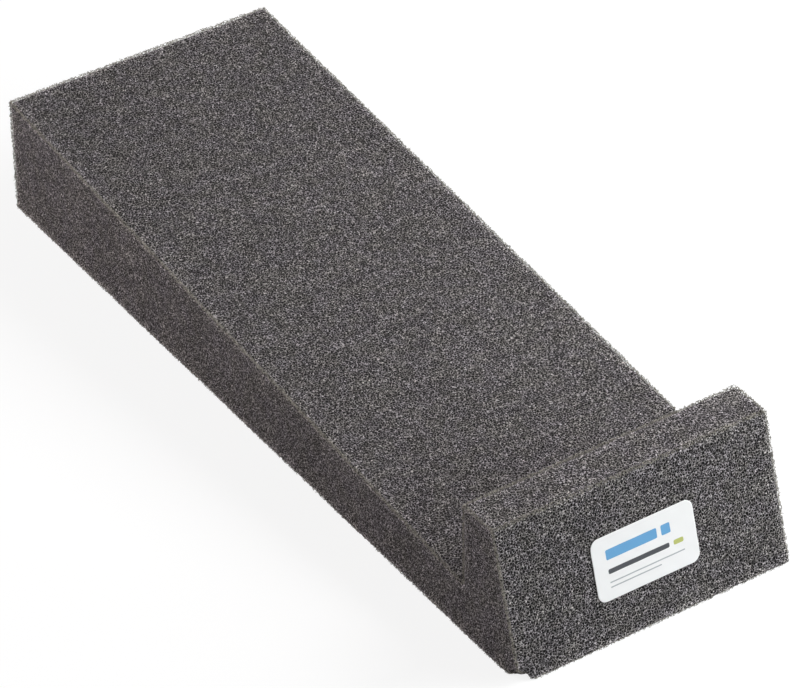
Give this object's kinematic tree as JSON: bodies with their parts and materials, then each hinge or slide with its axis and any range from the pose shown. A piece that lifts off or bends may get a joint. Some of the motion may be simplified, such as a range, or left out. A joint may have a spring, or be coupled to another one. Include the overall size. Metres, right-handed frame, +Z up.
{
  "type": "speaker isolation pad",
  "caption": "Wedge of open-cell foam that tilts and decouples a small loudspeaker, with a bed that falls towards a front lip and a label on the lip.",
  "frame": {"origin": "middle of the flat underside, in the plane that it rests on", "axes": "+Z up out of the underside, -Y towards the lip and the label, +X to the right seen from the lip's side"},
  "size_m": [0.1016, 0.2996, 0.05],
  "materials": {
    "open_cell_foam": "charcoal grey open-cell polyurethane foam, knife-cut, dull and finely porous",
    "label_paper": null
  },
  "bodies": {
    "root": {"foam_pad": "open_cell_foam", "front_label": "label_paper"}
  },
  "joints": []
}
